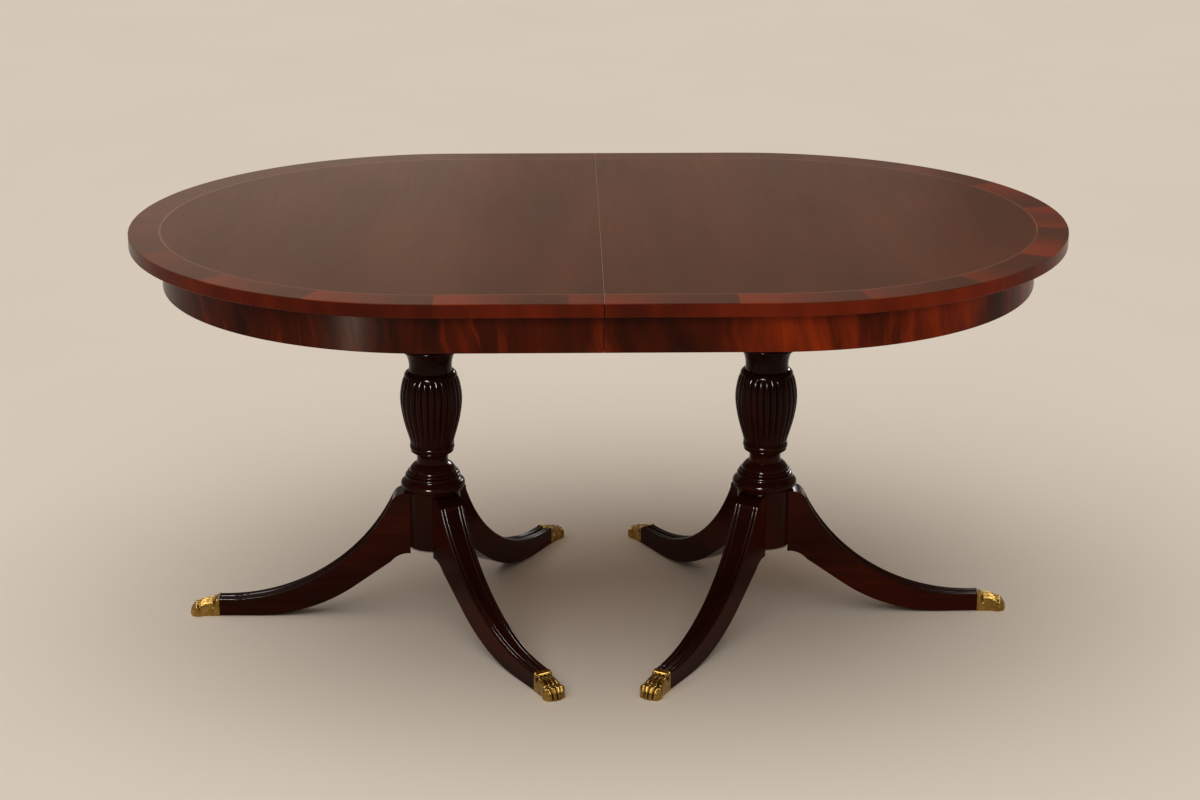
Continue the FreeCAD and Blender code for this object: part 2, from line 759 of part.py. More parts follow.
def column_turning():
    """Hub, ringed base, collar, plain core of the vase, capital, shaft and tenon."""
    core = f"vase_radius * {vase_shares[0][1]} - overrun"
    rows = [
        ("0", "hub_rise"),
        ("hub_radius - hub_chamfer", "hub_rise"),
        ("hub_radius", "hub_rise + hub_chamfer"),
        ("hub_radius", base_level),
    ]
    rows += turning_rows(base_shares, "base_radius", "base_height", base_level)
    rows += turning_rows(collar_shares, "collar_radius", "collar_height", collar_level)
    rows += [(core, vase_level), (core, capital_level)]
    rows += turning_rows(capital_shares, "capital_radius", "capital_height", capital_level)
    rows += [
        ("shaft_radius", f"{capital_level} + capital_height"),
        ("shaft_radius", bearer_level),
        ("tenon_radius", bearer_level),
        ("tenon_radius", f"{bearer_level} + {tenon_length}"),
        ("0", f"{bearer_level} + {tenon_length}"),
    ]
    return turned("column_turning", rows)


def reeded_vase():
    """Vase lofted through rings of reeds that fade out at its foot and shoulder."""
    count = round(value("reed_count"))
    pitch = 2 * math.pi / count
    rings = []
    for height_share, radius_share, depth_share in vase_shares:
        radius = value("vase_radius") * radius_share
        level = value(vase_level) + value("vase_height") * height_share
        valley = radius - radius * pitch * reed_depth_share * depth_share

        def on_ring(reach, turn):
            return Vector(reach * math.cos(turn * pitch), reach * math.sin(turn * pitch), level)

        arcs = []
        for reed in range(count):
            arc = Part.Arc(on_ring(valley, reed - 0.5), on_ring(radius, reed), on_ring(valley, reed + 0.5))
            arcs.append(arc.toShape())
        rings.append(Part.Wire(arcs))
    vase = doc.addObject("Part::Feature", "reeded_vase")
    vase.Shape = Part.makeLoft(rings, True, False)
    return vase


def dovetail(name, extra="0"):
    """Dovetail at the root of a leg, or its socket in the hub when grown by a fit."""
    back, front = f"hub_radius - dovetail_depth - {extra}", "hub_radius + dovetail_depth / 4"
    wide, narrow = f"(dovetail_back / 2 + {extra})", f"(dovetail_mouth / 2 + {extra})"
    flare = "(dovetail_back - dovetail_mouth) / 8"
    rows = [
        (back, f"-{wide}"),
        (front, f"-{narrow} + {flare}"),
        (front, f"{narrow} - {flare}"),
        (back, wide),
    ]
    lower = "hub_rise" if extra == "0" else "hub_rise - overrun"
    height = dovetail_height if extra == "0" else f"{dovetail_height} + {extra} + overrun"
    return plate(name, rows, height, z=lower)


def column(holes):
    blank = joined("MultiFuse", "column_blank", [column_turning(), reeded_vase()])
    socket = dovetail("dovetail_socket", "fixed_clearance")
    sockets = [placed(f"dovetail_socket_{angle}", socket, angle) for angle in (0, 120, 240)]
    return cut("column", blank, sockets + holes)


# Saber leg, laid out along +X from the column's axis
def level_arc(reach, level, radius, run):
    """Middle point of an arc that leaves a level end and runs back towards the column."""
    return f"{reach} - {run} / 2", f"{level} + {radius} - sqrt({radius} * {radius} - {run} * {run} / 4)"


def leg_side_rows():
    """Side view of the leg: underside, toe, moulded top curve and rounded head."""
    root = "hub_radius / 2"
    sole_run, sole_climb = f"({leg_sole_from} - leg_bend_reach)", "(leg_bend_height - leg_floor_gap)"
    sole_radius = f"(({sole_run} * {sole_run} + {sole_climb} * {sole_climb}) / (2 * {sole_climb}))"
    curve = f"({leg_arc_radius} + bead_radius)"
    surface = f"({leg_arc_level} - sqrt({curve} * {curve} - {leg_run} * {leg_run}))"
    root_middle = (f"(hub_radius + {leg_turn_reach}) / 2",
                   f"({leg_root_height} + leg_turn_height) / 2 + leg_turn_length * {leg_swell_share}")
    head_fall = f"({leg_head_height} - leg_crest_height)"
    head_middle = (f"(hub_radius + {leg_head_reach}) / 2 + {head_fall} * {leg_swell_share}",
                   f"leg_crest_height + {head_fall} / 2 + leg_head_length * {leg_swell_share}")
    return [
        (root, leg_head_height),
        (root, leg_root_height),
        ("hub_radius", leg_root_height),
        (leg_turn_reach, "leg_turn_height") + root_middle,
        ("leg_bend_reach", "leg_bend_height"),
        (leg_sole_from, "leg_floor_gap") + level_arc(leg_sole_from, "leg_floor_gap", sole_radius, sole_run),
        ("leg_reach", "leg_floor_gap"),
        ("leg_reach", leg_surface),
        (leg_level_from, leg_surface),
        (leg_head_reach, surface) + level_arc(leg_level_from, leg_surface, curve, leg_run),
        (leg_head_reach, "leg_crest_height"),
        ("hub_radius", leg_head_height) + head_middle,
    ]


def leg_taper():
    """Angle by which each side of the leg turns in towards the toe."""
    run = value("leg_reach - hub_radius")
    return math.atan2(value("leg_root_width - leg_toe_width") / 2, run)


def leg_beads():
    """Two beads along each edge of the top face, round its curve and along its level end."""
    taper = leg_taper()
    start_half = f"(leg_toe_width / 2 + leg_toe_run * {leg_inset_rate})"
    sweep = f"asin({leg_run} / {leg_arc_radius})"
    beads = []
    for sign in (-1, 1):
        along = Vector(math.cos(taper), -sign * math.sin(taper), 0)
        across = Vector(sign * math.sin(taper), math.cos(taper), 0)
        down = Vector(0, 0, -1)
        for index in (0, 1):
            place = f"{sign} * ({start_half} - bead_radius - bead_margin - {index} * bead_pitch)"
            name = f"bead_{sign + 1}_{index}"
            ring = Rotation(down, along.negative(), across, "ZXY")
            beads.append(solid("Torus", name + "_curve", ring, Radius1=f"{leg_arc_radius} + bead_radius",
                               Radius2="bead_radius", Angle3=sweep, x=leg_level_from, y=place,
                               z=leg_arc_level))
            level = Rotation(Vector(0, 0, 1), along)
            beads.append(solid("Cylinder", name + "_level", level, Radius="bead_radius",
                               Height="leg_toe_run - fixed_clearance", x=leg_level_from, y=place,
                               z=leg_surface))
    return beads


def saber_leg():
    side = plate("leg_side", leg_side_rows(), "leg_root_width + 2 * overrun", plane="XZ_Plane",
                 both_sides=True)
    root = f"(leg_root_width / 2 + hub_radius * {leg_inset_rate})"
    plan_rows = [
        ("0", f"-{root}"),
        ("leg_reach", "-leg_toe_width / 2"),
        ("leg_reach", "leg_toe_width / 2"),
        ("0", root),
    ]
    plan = plate("leg_plan", plan_rows, f"{leg_head_height} + overrun")
    blade = joined("MultiCommon", "leg_blade", [side, plan])
    hollow = solid("Cylinder", "leg_hollow", Radius="hub_radius + fixed_clearance",
                   Height=f"{leg_head_height} + 2 * overrun", z="-overrun")
    coped = cut("leg_coped", blade, [hollow])
    spigot = solid("Box", "leg_spigot", Length="paw_socket_depth + overrun - fixed_clearance",
                   Width=f"{spigot_width} - 2 * fixed_clearance",
                   Height=f"{spigot_height} - 2 * fixed_clearance", x="leg_reach - overrun",
                   y=f"fixed_clearance - {spigot_width} / 2",
                   z="leg_floor_gap + paw_wall + fixed_clearance")
    blank = joined("MultiFuse", "leg_blank", [coped, spigot, dovetail("leg_dovetail")] + leg_beads())
    return cut("saber_leg", blank, cap_nails("leg_nail_hole", "fixed_clearance"))


# Brass paw cap over the end of a leg
def cap_nails(name, extra="0"):
    """Nail on each side of a cap, or its hole when grown by a fit."""
    nails = []
    for sign in (-1, 1):
        turn = Rotation(Vector(1, 0, 0), 90 * sign)
        place = {
            "x": f"leg_reach + paw_length * {paw_nail_place_share}",
            "z": f"{paw_height} * {paw_nail_height_share}",
        }
        shank = solid("Cylinder", f"{name}_{sign + 1}", turn, Radius=f"nail_radius + {extra}",
                      Height=f"nail_bite + {extra}", y=f"{sign} * {paw_rear_width} / 2", **place)
        if extra == "0":
            head = solid("Cone", f"{name}_head_{sign + 1}", turn, Radius1="nail_radius",
                         Radius2="nail_head_radius", Height="nail_head_height",
                         y=f"{sign} * ({paw_rear_width} / 2 + nail_head_height)", **place)
            shank = joined("MultiFuse", f"{name}_whole_{sign + 1}", [shank, head])
        nails.append(shank)
    return nails


def paw_place(share):
    """Distance out along the leg of a place on the paw."""
    return f"leg_reach + paw_length * {share}"


def paw_cap():
    """Paw from its side view and its plan, with a rear band, pearls, toe grooves and a socket."""
    rows = [("leg_reach", "0")]
    for row in paw_side_shares:
        texts = []
        for index, share in enumerate(row):
            texts.append(paw_place(share) if index % 2 == 0 else f"{paw_height} * {share}")
        rows.append(tuple(texts))
    side = plate("paw_side", rows, f"{paw_toe_width} + 2 * overrun", plane="XZ_Plane", both_sides=True)
    plan_rows = [
        ("leg_reach", f"{paw_rear_width} / 2"),
        ("leg_reach", f"-{paw_rear_width} / 2"),
        (paw_place(paw_swell_share), f"-{paw_rear_width} / 2"),
        (paw_place(paw_knuckle_share), f"-{paw_toe_width} / 2"),
        (paw_place(paw_round_share), f"-{paw_toe_width} / 2 * {paw_front_share}"),
        (paw_place(paw_round_share), f"{paw_toe_width} / 2 * {paw_front_share}",
         paw_place(paw_tip_share), "0"),
        (paw_place(paw_knuckle_share), f"{paw_toe_width} / 2"),
        (paw_place(paw_swell_share), f"{paw_rear_width} / 2"),
    ]
    plan = plate("paw_plan", plan_rows, paw_height)
    block = joined("MultiCommon", "paw_block", [side, plan])
    band = solid("Box", "paw_band", Length="paw_band_length", Width=f"{paw_rear_width} + 2 * paw_band_height",
                 Height=f"{paw_height} + paw_band_height", x="leg_reach",
                 y=f"-{paw_rear_width} / 2 - paw_band_height")
    pearls = []
    for index, share in enumerate(paw_pearl_shares):
        pearls.append(solid("Sphere", f"paw_pearl_{index}", Radius="pearl_radius",
                            x=paw_place(paw_pearl_place_share), y=f"{paw_rear_width} * {share}",
                            z=f"{paw_height} * {paw_pearl_level_share}"))
    slope = math.atan2(value(paw_height) * paw_groove_fall_share, value("paw_length") * paw_groove_run_share)
    grooves = []
    for index, share in enumerate(paw_groove_shares):
        turn = Rotation(Vector(0, 1, 0), 90 + math.degrees(slope))
        grooves.append(solid("Cylinder", f"paw_groove_{index}", turn, Radius="paw_groove_radius",
                             Height="paw_length", x=paw_place(paw_groove_start_share),
                             y=f"{paw_toe_width} * {share}", z=f"{paw_height} * {paw_groove_level_share}"))
    socket = solid("Box", "paw_socket", Length="paw_socket_depth + overrun", Width=spigot_width,
                   Height=spigot_height, x="leg_reach - overrun", y=f"-{spigot_width} / 2",
                   z="leg_floor_gap + paw_wall")
    blank = joined("MultiFuse", "paw_blank", [block, band] + pearls)
    return cut("paw_cap", blank, grooves + [socket] + cap_nails("paw_nail_hole", "fixed_clearance"))


def leg_plate(holes):
    disc = solid("Cylinder", "leg_plate_disc", Radius="hub_radius - leg_plate_inset",
                 Height="leg_plate_thickness", z="hub_rise - leg_plate_thickness")
    return cut("leg_plate", disc, holes)


def leg_plate_places():
    """Screws midway between the legs."""
    return [(f"leg_plate_screw_radius * cos({angle})", f"leg_plate_screw_radius * sin({angle})")
            for angle in (60, 180, 300)]


def build_half(side):
    """Sub-parts of one half under its side's name, turned end for end for the left half."""
    turn = half_turn[side]
    bearer_screws, bearer_holes = screw_set(f"{side}_bearer_screw", "bearer_thickness", bearer_places(),
                                            bearer_level)
    low_screws, low_holes = screw_set(f"{side}_low_slide_screw", "slide_height", slide_places(-1),
                                      slide_level)
    high_screws, high_holes = screw_set(f"{side}_high_slide_screw", "slide_height", slide_places(1),
                                        slide_level)
    lock_places = lock_plate_places() if side == "left" else keeper_places()
    lock_screws, lock_holes = screw_set(f"{side}_lock_screw", "lock_plate_thickness", lock_places, lock_level)
    screws = bearer_screws + low_screws + high_screws + lock_screws
    holes = bearer_holes + low_holes + high_holes + lock_holes
    lock = lock_plates(lock_holes) if side == "left" else lock_keepers(lock_holes)
    near, far = ("back", "front") if side == "left" else ("front", "back")
    pieces = {
        "top_core": core_panel(side, holes),
        "top_screws": group(f"{side}_screws", screws),
        "bearer": bearer(bearer_holes) if side == "left" else doc.getObject("bearer"),
        f"slide_{near}": slide_member(f"{side}_low_slide", -1, low_holes),
        f"slide_{far}": slide_member(f"{side}_high_slide", 1, high_holes),
        "slide_stop_pins": group(f"{side}_stops", [stop_pin(f"{side}_stop_{s + 1}", s) for s in (-1, 1)]),
        "lock_plates" if side == "left" else "lock_keepers": lock,
    }
    for name, piece in shared.items():
        pieces[name.replace("near", near).replace("far", far)] = piece
    for name, piece in pieces.items():
        nodes[f"{side}_{name}"] = placed(f"{side}_{name}_node", piece, turn)


def build_pedestal(side):
    """Column, legs, caps and plate of one half round the column's axis."""
    sign = -1 if side == "left" else 1
    spot = {"x": f"{sign} * pedestal_offset"}
    turn = half_turn[side]
    for name, piece in pedestal.items():
        nodes[f"{side}_{name}"] = placed(f"{side}_{name}_node", piece, turn, **spot)
    legs = {"outer": turn, "back": 90 + sign * 30, "front": 270 - sign * 30}
    nails = []
    for name, angle in legs.items():
        nodes[f"{side}_leg_{name}"] = placed(f"{side}_leg_{name}_node", leg, angle, **spot)
        nodes[f"{side}_paw_{name}"] = placed(f"{side}_paw_{name}_node", paw, angle, **spot)
        nails.append(placed(f"{side}_nails_{name}", nail_pair, angle, **spot))
    nodes[f"{side}_paw_nails"] = group(f"{side}_paw_nails_node", nails)


fill_sheet()
nodes = {}

# Pieces that both halves share, laid out for the half that lies towards +X
shared = {
    "field_veneer": field_veneer(),
    "string_inlay": string_inlay(),
    "crossband": crossband(),
    "edge_lipping": edge_lipping(),
    "apron_near_rail": apron_rail("apron_near_rail", -1),
    "apron_far_rail": apron_rail("apron_far_rail", 1),
    "apron_near_bend": apron_bend("apron_near_bend", -1),
    "apron_far_bend": apron_bend("apron_far_bend", 1),
    "glue_blocks": glue_blocks(),
}
for side in ("left", "right"):
    build_half(side)

plate_screws, plate_holes = screw_set("leg_plate_screw", "leg_plate_thickness", leg_plate_places(),
                                      "hub_rise - leg_plate_thickness")
pedestal = {
    "column": column(plate_holes),
    "leg_plate": leg_plate(plate_holes),
    "leg_plate_screws": group("leg_plate_screws", plate_screws),
}
leg = saber_leg()
paw = paw_cap()
nail_pair = group("cap_nail_pair", cap_nails("cap_nail"))
for side in ("left", "right"):
    build_pedestal(side)

# Middle runners, alignment pins and lock levers, each lever at rest across its lock
nodes["front_middle_runner"] = middle_runner("front_runner", -1)
nodes["back_middle_runner"] = middle_runner("back_runner", 1)
nodes["alignment_pins"] = alignment_pins()
lever = lock_lever()
for name, sign in (("front", -1), ("back", 1)):
    nodes[f"{name}_lock_lever"] = placed(f"{name}_lock_lever_node", lever, -90, x=f"-{lock_pivot}",
                                         y=f"{sign} * {lock_offset}", z=lever_level)

doc.recompute()
for item in doc.Objects:
    if "Invalid" in item.State or "Error" in item.State:
        raise RuntimeError(f"{item.Name} did not build: {item.State}")
for name, piece in nodes.items():
    piece.Label = name
    if piece.Shape.isNull() or not piece.Shape.isValid():
        raise RuntimeError(f"{name} has no valid shape")

os.makedirs("parts", exist_ok=True)
for name, piece in nodes.items():
    piece.Shape.exportStep(f"parts/{name}.step")
    print(f"{name}: {len(piece.Shape.Solids)} solids, {piece.Shape.Volume / 1000:.2f} cm3")
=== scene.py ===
import json
import math

import bmesh
import bpy
from mathutils import Matrix, Vector

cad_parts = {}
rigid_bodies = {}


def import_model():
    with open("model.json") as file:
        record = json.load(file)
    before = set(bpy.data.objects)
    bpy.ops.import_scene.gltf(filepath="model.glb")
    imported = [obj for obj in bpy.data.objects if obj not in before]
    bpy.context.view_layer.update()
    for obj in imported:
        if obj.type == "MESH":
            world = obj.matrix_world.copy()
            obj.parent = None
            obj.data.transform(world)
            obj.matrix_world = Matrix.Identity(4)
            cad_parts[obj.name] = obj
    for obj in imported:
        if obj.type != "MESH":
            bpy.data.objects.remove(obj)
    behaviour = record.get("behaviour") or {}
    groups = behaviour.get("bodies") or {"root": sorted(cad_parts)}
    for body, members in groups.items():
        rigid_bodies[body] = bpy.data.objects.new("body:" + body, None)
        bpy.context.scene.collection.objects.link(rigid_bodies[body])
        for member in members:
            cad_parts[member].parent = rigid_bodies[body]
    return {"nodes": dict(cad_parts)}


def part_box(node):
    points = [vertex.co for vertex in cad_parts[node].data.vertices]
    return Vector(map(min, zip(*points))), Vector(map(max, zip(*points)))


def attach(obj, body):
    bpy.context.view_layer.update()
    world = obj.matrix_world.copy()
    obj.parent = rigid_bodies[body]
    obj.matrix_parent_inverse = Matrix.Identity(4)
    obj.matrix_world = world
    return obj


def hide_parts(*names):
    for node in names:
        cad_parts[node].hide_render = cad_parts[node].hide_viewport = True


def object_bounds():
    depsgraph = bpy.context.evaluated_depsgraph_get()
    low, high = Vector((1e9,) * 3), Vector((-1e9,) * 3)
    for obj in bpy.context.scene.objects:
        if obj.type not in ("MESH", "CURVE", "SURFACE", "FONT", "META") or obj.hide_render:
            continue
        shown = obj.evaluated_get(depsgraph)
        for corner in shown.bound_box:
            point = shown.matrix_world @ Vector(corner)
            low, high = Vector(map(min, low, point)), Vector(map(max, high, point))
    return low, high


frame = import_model()
cad_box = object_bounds()
scene = bpy.context.scene

# Racetrack of the top: half of its length and width, and the centre of its round end
half_length = cad_box[1].x
half_width = cad_box[1].y
bend_centre = half_length - half_width
# Added to the run along the back of the rim, so that its figure isn't the front's in a mirror
back_run = 7.31
# Painted line along the seam (shade of its gap, and a highlight on one arris): full up to the first
# distance, gone at the second
seam_core, seam_reach = 0.0006, 0.0012
# Axes that a straight grain may follow
x_axis, y_axis, z_axis = 0, 1, 2
# Depth of grain and pores in lacquered wood
grain_depth = 0.0002


def srgb(red, green, blue):
    """A colour read off as it looks, turned into light."""
    linear = []
    for part in (red, green, blue):
        share = part / 255
        linear.append(share / 12.92 if share <= 0.04045 else ((share + 0.055) / 1.055) ** 2.4)
    return tuple(linear)


# Painted shade of the seam's gap, and a painted highlight on the right half's arris beside it
seam_shade = srgb(20, 9, 6)
arris_highlight = srgb(138, 104, 82)


class Shader:
    """A material put together node by node round one principled surface."""

    def __init__(self, name):
        self.material = bpy.data.materials.new(name)
        self.material.use_nodes = True
        self.tree = self.material.node_tree
        self.surface = self.tree.nodes["Principled BSDF"]

    def add(self, kind, values=(), **settings):
        """A node with its first inputs filled by numbers, colours or other nodes' outputs."""
        node = self.tree.nodes.new("ShaderNode" + kind)
        for name, setting in settings.items():
            setattr(node, name, setting)
        for socket, value in zip(node.inputs, values):
            self.fill(socket, value)
        return node

    def fill(self, socket, value):
        """Links a socket to a node's output, or sets it to a number or colour."""
        if isinstance(value, bpy.types.NodeSocket):
            self.tree.links.new(value, socket)
        else:
            socket.default_value = value

    def calc(self, operation, *values):
        return self.add("Math", values, operation=operation).outputs[0]

    def blend_of(self, *parts):
        """Values added up, each with its weight."""
        total = None
        for value, weight in parts:
            part = self.calc("MULTIPLY", value, weight)
            total = part if total is None else self.calc("ADD", total, part)
        return total

    def place(self):
        """Position on the piece, which stays with the piece as it moves."""
        return self.add("TexCoord").outputs["Object"]

    def split(self, vector):
        return self.add("SeparateXYZ", [vector]).outputs

    def join(self, x, y, z):
        return self.add("CombineXYZ", [x, y, z]).outputs[0]

    def mapped(self, vector, scale=(1.0, 1.0, 1.0), turn=0.0):
        """Positions scaled along each axis, and turned about Z by an angle in degrees."""
        node = self.add("Mapping")
        self.fill(node.inputs["Vector"], vector)
        node.inputs["Scale"].default_value = scale
        node.inputs["Rotation"].default_value = (0.0, 0.0, math.radians(turn))
        return node.outputs[0]

    def noise(self, vector, scale, detail=3.0, roughness=0.55):
        """Noise with a scale of its own along each axis."""
        node = self.add("TexNoise")
        self.fill(node.inputs["Vector"], self.mapped(vector, scale))
        node.inputs["Scale"].default_value = 1.0
        node.inputs["Detail"].default_value = detail
        node.inputs["Roughness"].default_value = roughness
        return node.outputs["Fac"]

    def ramp(self, value, stops):
        """Colours along a value; a stop is a place and a colour."""
        node = self.add("ValToRGB")
        self.fill(node.inputs[0], value)
        elements = node.color_ramp.elements
        while len(elements) < len(stops):
            elements.new(1.0)
        for element, (place, colour) in zip(elements, stops):
            element.position = place
            element.color = colour + (1.0,)
        return node.outputs[0]

    def span(self, value, low, high, lowest=0.0, highest=1.0):
        """A value spread out so that low becomes lowest and high becomes highest."""
        node = self.add("MapRange", (value, low, high, lowest, highest), clamp=True)
        return node.outputs[0]

    def mix(self, share, first, second):
        node = self.add("Mix", data_type="RGBA")
        for socket, value in ((0, share), (6, first), (7, second)):
            value = value + (1.0,) if isinstance(value, tuple) else value
            self.fill(node.inputs[socket], value)
        return node.outputs[2]

    def bump(self, height, strength, distance=grain_depth):
        node = self.add("Bump")
        node.inputs["Strength"].default_value = strength
        node.inputs["Distance"].default_value = distance
        self.fill(node.inputs["Height"], height)
        self.fill(self.surface.inputs["Normal"], node.outputs[0])

    def finish(self, colour, roughness, specular=0.5, metallic=0.0):
        """Colour and roughness over the surface, and the numbers that are the same all over it."""
        self.fill(self.surface.inputs["Base Color"], colour)
        self.fill(self.surface.inputs["Roughness"], roughness)
        self.surface.inputs["Specular IOR Level"].default_value = specular
        self.surface.inputs["Metallic"].default_value = metallic
        return self.material

    def rim(self):
        """Run along the rim from the seam, distance from the rim's centre line, and height."""
        x, y, z = self.split(self.place())
        reach = self.calc("ABSOLUTE", x)
        past = self.calc("MAXIMUM", self.calc("SUBTRACT", reach, bend_centre), 0.0)
        turn = self.calc("ARCTAN2", self.calc("ABSOLUTE", y), past)
        turn = self.calc("SUBTRACT", math.pi / 2, turn)
        arc = self.calc("MULTIPLY", turn, half_width)
        run = self.calc("ADD", self.calc("MINIMUM", reach, bend_centre), arc)
        run = self.calc("MULTIPLY", run, self.calc("SIGN", x))
        behind = self.calc("GREATER_THAN", y, 0.0)
        run = self.calc("ADD", run, self.calc("MULTIPLY", behind, back_run))
        squares = [self.calc("MULTIPLY", length, length) for length in (past, y)]
        return run, self.calc("SQRT", self.calc("ADD", *squares)), z

    def seam_line(self, colour, lit_arris=False):
        """Painted shade of the gap along the seam between the halves; the right half's arris may get
        a painted pale highlight.
        """
        x = self.split(self.place())[0]
        line = seam_shade
        if lit_arris:
            line = self.mix(self.calc("GREATER_THAN", x, 0.0), seam_shade, arris_highlight)
        near = self.span(self.calc("ABSOLUTE", x), seam_reach, seam_core)
        return self.mix(near, colour, line)


# Woods; tones run from dark through middle to light
def grain_wood(name, tones, along, roughness, bump, specular, turn=0.0, contrast=1.0, seam=False,
               stain_and_shade=0.0):
    """Straight grain along one axis: fine fibres, broad stripes and short pores.

    Upper faces may be darkened: partly a dark glaze in the moulding, partly painted shade on the
    tops.
    """
    dark, middle, light = tones
    shader = Shader(name)
    place = shader.mapped(shader.place(), turn=turn)

    def drawn_out(scale, ratio):
        scales = [scale, scale, scale]
        scales[along] = scale / ratio
        return scales

    waver = shader.noise(place, drawn_out(3.2, 2.0), detail=2.0)
    wave = shader.calc("MULTIPLY", shader.calc("SUBTRACT", waver, 0.5), 0.06)
    shift = [wave, wave, wave]
    shift[along] = 0.0
    bent = shader.add("VectorMath", [place, shader.join(*shift)], operation="ADD").outputs[0]
    fibre = shader.noise(bent, drawn_out(95.0, 26.0), detail=5.0, roughness=0.6)
    stripe = shader.noise(bent, drawn_out(11.0, 7.0), roughness=0.5)
    mottle = shader.noise(place, drawn_out(5.0, 1.6), detail=2.0, roughness=0.5)
    pore = shader.noise(place, drawn_out(700.0, 26.0), detail=2.0, roughness=0.5)
    tone = shader.blend_of((fibre, 0.3), (stripe, 0.42), (mottle, 0.28))
    tone = shader.calc("MULTIPLY", shader.calc("SUBTRACT", tone, 0.5), contrast)
    tone = shader.calc("ADD", tone, 0.5)
    colour = shader.ramp(tone, [(0.34, dark), (0.5, middle), (0.66, light)])
    pores = shader.span(pore, 0.62, 0.72)
    colour = shader.mix(shader.calc("MULTIPLY", pores, 0.4), colour, dark)
    if seam:
        colour = shader.seam_line(colour, lit_arris=True)
    # Faces that look up are darkened: partly a dark glaze in the moulding, partly painted shade on
    # the tops
    if stain_and_shade:
        up = shader.split(shader.add("NewGeometry").outputs["Normal"])[2]
        stained_and_shaded = shader.calc("MULTIPLY", shader.span(up, 0.2, 0.7), stain_and_shade)
        colour = shader.mix(stained_and_shaded, colour, dark)
    rough = shader.blend_of((fibre, 0.1), (1.0, roughness - 0.05))
    shader.bump(shader.blend_of((fibre, 0.5), (pores, -1.0)), bump)
    return shader.finish(colour, rough, specular)


def crossband_wood(name, tones, cut_length, first_cut, specular):
    """Veneer laid across the rim in cut lengths, each bright at one end and dark at the other.

    The cuts at the front and the right are brighter than those at the back and the left: partly the
    veneer's figure, partly painted light.
    """
    dark, middle, light = tones
    shader = Shader(name)
    run, outward, z = shader.rim()
    spot = shader.join(run, outward, z)
    broad = shader.noise(spot, (6.0, 5.0, 5.0), detail=2.0, roughness=0.5)
    fibre = shader.noise(spot, (330.0, 11.0, 11.0), detail=4.0, roughness=0.6)
    streak = shader.noise(spot, (48.0, 6.0, 6.0))
    x, y = shader.split(shader.place())[:2]
    offset = shader.calc("MULTIPLY", shader.calc("LESS_THAN", x, 0.0), first_cut)
    cuts = shader.calc("DIVIDE", shader.calc("ADD", run, offset), cut_length)
    cell = shader.calc("FLOOR", cuts)
    within = shader.calc("SUBTRACT", cuts, cell)
    chance = shader.add("TexWhiteNoise", noise_dimensions="1D")
    shader.fill(chance.inputs["W"], cell)
    fade = shader.blend_of((within, 1.1), (broad, -0.7), (chance.outputs[0], 0.35))
    # Brighter at the front and right than at the back and left: partly the veneer's figure, partly
    # painted light
    figure_and_light_lift = shader.span(shader.blend_of((x, 0.45), (y, -1.0)), -0.75, 0.35)
    glow = shader.calc("MULTIPLY", shader.span(fade, 0.55, -0.2), figure_and_light_lift)
    tone = shader.blend_of((glow, 0.62), (streak, 0.34), (fibre, 0.2))
    colour = shader.ramp(tone, [(0.2, dark), (0.5, middle), (0.9, light)])
    from_middle = shader.calc("ABSOLUTE", shader.calc("SUBTRACT", within, 0.5))
    joint = shader.span(from_middle, 0.4975, 0.4995)
    colour = shader.mix(shader.calc("MULTIPLY", joint, 0.35), colour, dark)
    colour = shader.seam_line(colour, lit_arris=True)
    shader.bump(fibre, 0.08)
    return shader.finish(colour, shader.blend_of((fibre, 0.1), (1.0, 0.25)), specular)


def flame_wood(name, tones, plumes, specular):
    """Figured veneer with upright grain: dark ground, broad glows and narrow leaning plumes.

    It grows brighter and livelier from the left to the right of the table: partly a different leaf
    of veneer on each half, partly painted reflection and shade.
    """
    dark, middle, light = tones
    shader = Shader(name)
    run, outward, z = shader.rim()
    waver = shader.noise(shader.join(run, outward, z), (5.0, 7.0, 10.0), detail=2.0)
    lean = shader.blend_of((waver, 0.06), (z, 0.14))
    swayed = shader.join(shader.calc("ADD", run, lean), outward, z)
    broad = shader.noise(swayed, (4.6, 3.0, 4.0), detail=2.0, roughness=0.5)
    streak = shader.noise(swayed, (26.0, 4.0, 5.0), roughness=0.5)
    plume = shader.noise(swayed, (44.0, 4.0, 7.0), detail=2.0, roughness=0.45)
    fibre = shader.noise(swayed, (300.0, 9.0, 9.0), detail=4.0, roughness=0.6)
    # Brighter towards the right: partly a different leaf of veneer, partly painted reflection and
    # shade darkening the left end
    leaf_and_light_drift = shader.span(shader.split(shader.place())[0], -0.32, 0.32, lowest=-1.0)
    tone = shader.blend_of((broad, 0.62), (streak, 0.38), (leaf_and_light_drift, 0.1))
    colour = shader.ramp(tone, [(0.385, dark), (0.515, middle), (0.71, light)])
    plumed = shader.span(plume, 0.56, 0.72)
    bright = shader.calc("MULTIPLY", plumed, shader.span(broad, 0.42, 0.62))
    share = shader.blend_of((leaf_and_light_drift, plumes * 0.3), (1.0, plumes * 0.7))
    colour = shader.mix(shader.calc("MULTIPLY", bright, share), colour, light)
    lines = shader.calc("MULTIPLY", shader.span(fibre, 0.42, 0.72), 0.3)
    colour = shader.seam_line(shader.mix(lines, colour, dark))
    shader.bump(fibre, 0.06)
    return shader.finish(colour, shader.blend_of((fibre, 0.1), (1.0, 0.21)), specular)


def string_wood(name, dark, light, specular):
    """Boxwood line with fine fibres along it, toned by the lacquer."""
    shader = Shader(name)
    spot = shader.join(*shader.rim())
    fibre = shader.noise(spot, (20.0, 900.0, 900.0))
    cloud = shader.noise(spot, (9.0, 9.0, 9.0), detail=2.0)
    tone = shader.blend_of((fibre, 0.5), (cloud, 0.5))
    colour = shader.ramp(tone, [(0.35, dark), (0.65, light)])
    colour = shader.seam_line(colour, lit_arris=True)
    shader.bump(fibre, 0.08)
    return shader.finish(colour, shader.blend_of((fibre, 0.1), (1.0, 0.25)), specular)


